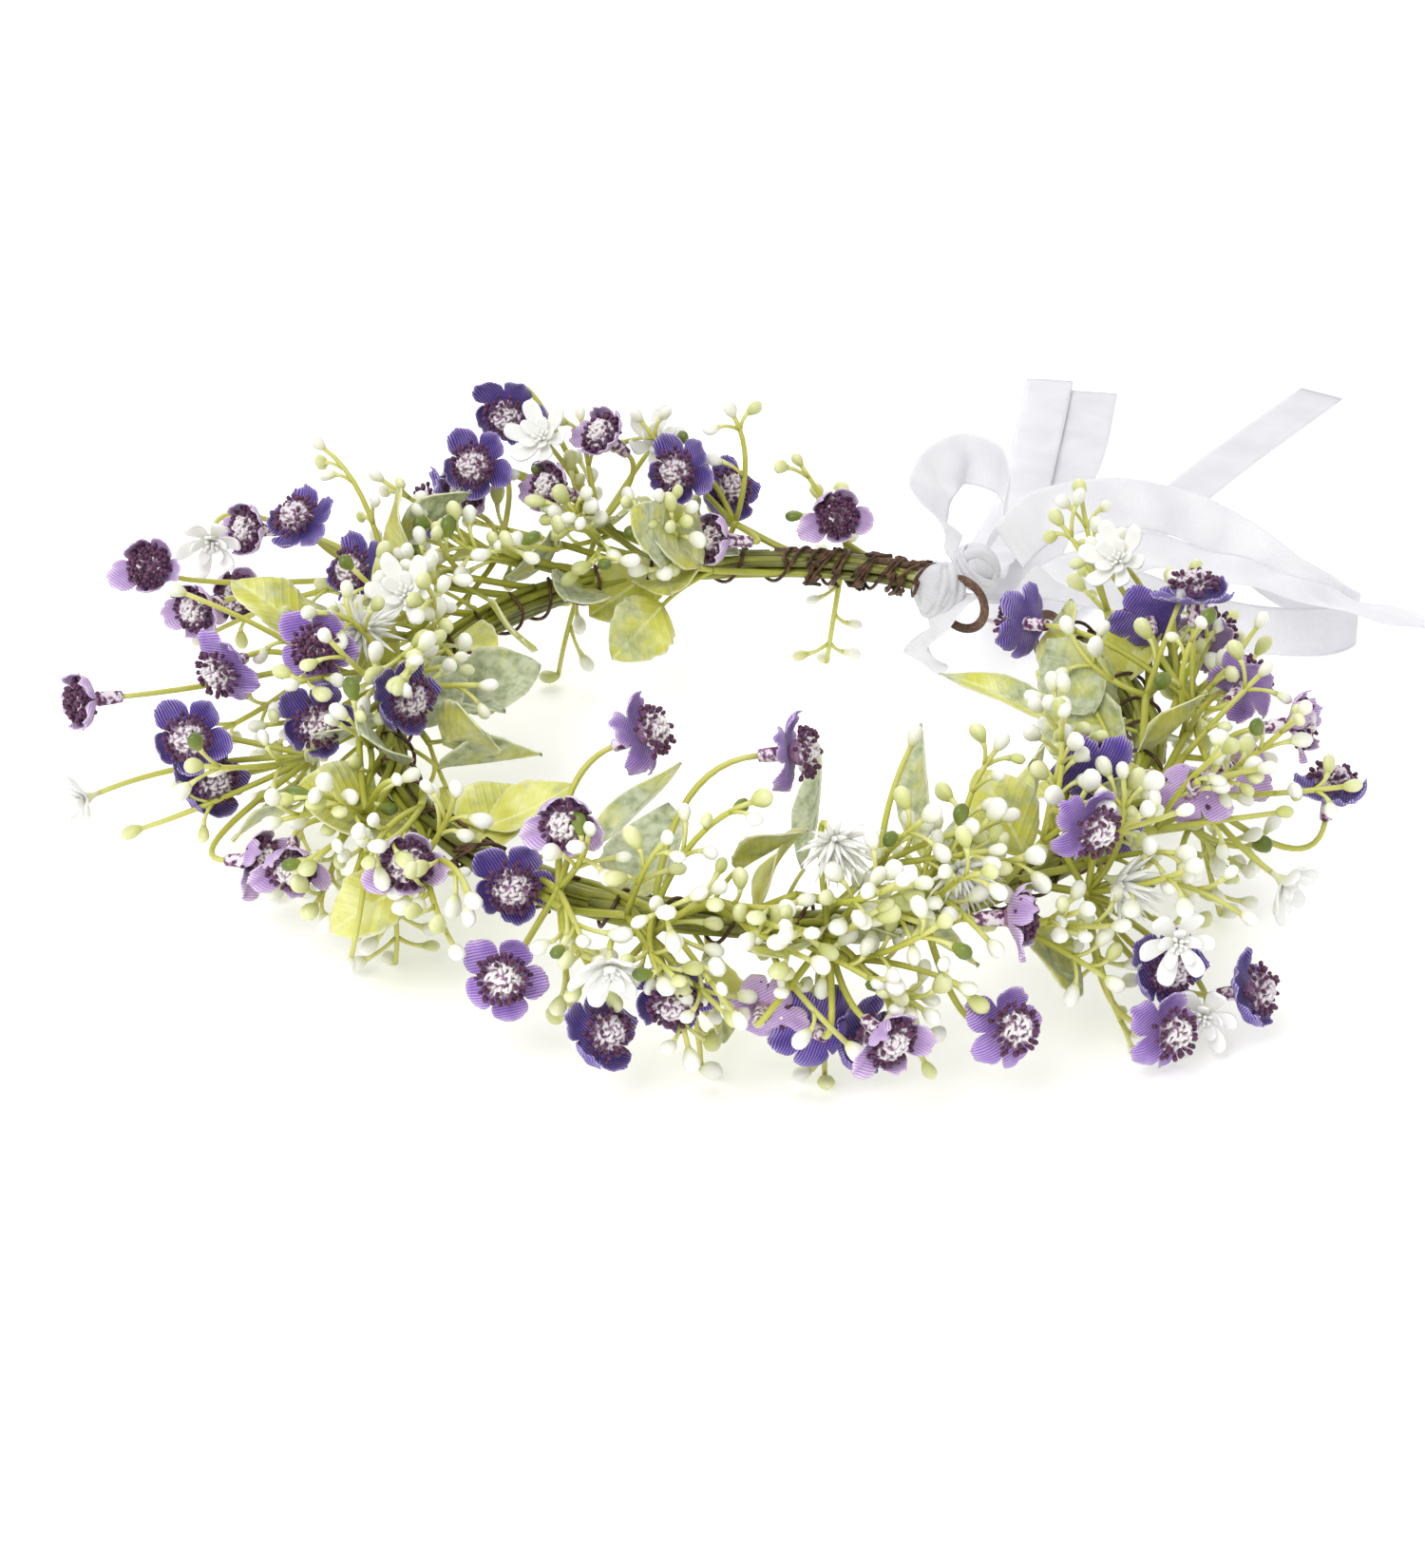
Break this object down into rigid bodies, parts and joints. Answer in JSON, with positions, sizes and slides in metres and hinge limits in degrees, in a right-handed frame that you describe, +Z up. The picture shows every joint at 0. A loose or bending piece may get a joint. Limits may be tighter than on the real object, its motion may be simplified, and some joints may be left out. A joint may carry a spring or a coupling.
{
  "type": "flower crown",
  "caption": "Wire hoop hair crown carrying bound sprays of small fabric flowers, buds and leaves, tied at its opening with a satin ribbon bow.",
  "frame": {"origin": "on the table, under the middle of the box around the crown and its laid-out ribbon", "axes": "+Z up, the hoop lying level; +Y from the hoop's bend to its opening, where the ribbon is tied; +X to the right seen from the bend"},
  "size_m": [0.319, 0.469, 0.0862],
  "materials": {
    "hoop_wire": "matt brown paper wrap",
    "binding_wire": "satin brown enamel",
    "stem": "moulded, yellow-green",
    "bud": "moulded, white dipped over green",
    "leaf": "moulded, powdered grey-green",
    "white_petal": "moulded, translucent white",
    "lilac_petal": "stiffened woven fabric",
    "purple_petal": "stiffened woven fabric",
    "violet_petal": "stiffened woven fabric",
    "stamen": "dipped thread, mauve with burgundy tips",
    "ribbon": "satin weave, white"
  },
  "bodies": {
    "right_arm": {"hoop_wire_right": "hoop_wire", "binding_wire_right": "binding_wire", "spray_9": "stem", "purple_flower_9a": "purple_petal", "purple_flower_9b": "purple_petal", "spray_10": "stem", "violet_flower_10a": "violet_petal", "purple_flower_10b": "purple_petal", "white_flower_10c": "white_petal", "spray_11": "stem", "lilac_flower_11a": "lilac_petal", "spray_12": "stem", "lilac_flower_12a": "lilac_petal", "purple_flower_12b": "purple_petal", "spray_13": "stem", "purple_flower_13a": "purple_petal", "violet_flower_13b": "violet_petal", "spray_14": "stem", "violet_flower_14a": "violet_petal", "lilac_flower_14b": "lilac_petal", "white_flower_14c": "white_petal", "spray_15": "stem", "violet_flower_15a": "violet_petal", "leaf_sprig_3": "leaf", "leaf_sprig_4": "leaf", "ribbon_knot_right": "ribbon"},
    "left_arm": {"hoop_wire_left": "hoop_wire", "binding_wire_left": "binding_wire", "spray_1": "stem", "lilac_flower_1a": "lilac_petal", "spray_2": "stem", "violet_flower_2a": "violet_petal", "spray_3": "stem", "lilac_flower_3a": "lilac_petal", "violet_flower_3b": "violet_petal", "violet_flower_3c": "violet_petal", "spray_4": "stem", "spray_5": "stem", "violet_flower_5a": "violet_petal", "lilac_flower_5b": "lilac_petal", "white_flower_5c": "white_petal", "spray_6": "stem", "purple_flower_6a": "purple_petal", "purple_flower_6b": "purple_petal", "lilac_flower_6c": "lilac_petal", "spray_7": "stem", "violet_flower_7a": "violet_petal", "lilac_flower_7b": "lilac_petal", "spray_8": "stem", "lilac_flower_8a": "lilac_petal", "leaf_sprig_1": "leaf", "leaf_sprig_2": "leaf", "ribbon_knot_left": "ribbon"},
    "bow": {"bow_knot": "ribbon", "bow_loop_small": "ribbon", "bow_loop_large": "ribbon", "ribbon_tail_a": "ribbon", "ribbon_tail_b": "ribbon", "ribbon_tail_c": "ribbon", "ribbon_tail_d": "ribbon"}
  },
  "joints": [
    {"name": "hoop_flex", "type": "hinge", "parent": "right_arm", "child": "left_arm", "pos_m": [0.0126, -0.2027, 0.0381], "axis": [0, 0, 1], "range_deg": [-3, 10]},
    {"name": "bow_lift", "type": "hinge", "parent": "left_arm", "child": "bow", "pos_m": [-0.0094, -0.0007, 0.0381], "axis": [1, 0, 0], "range_deg": [0, 70]}
  ]
}
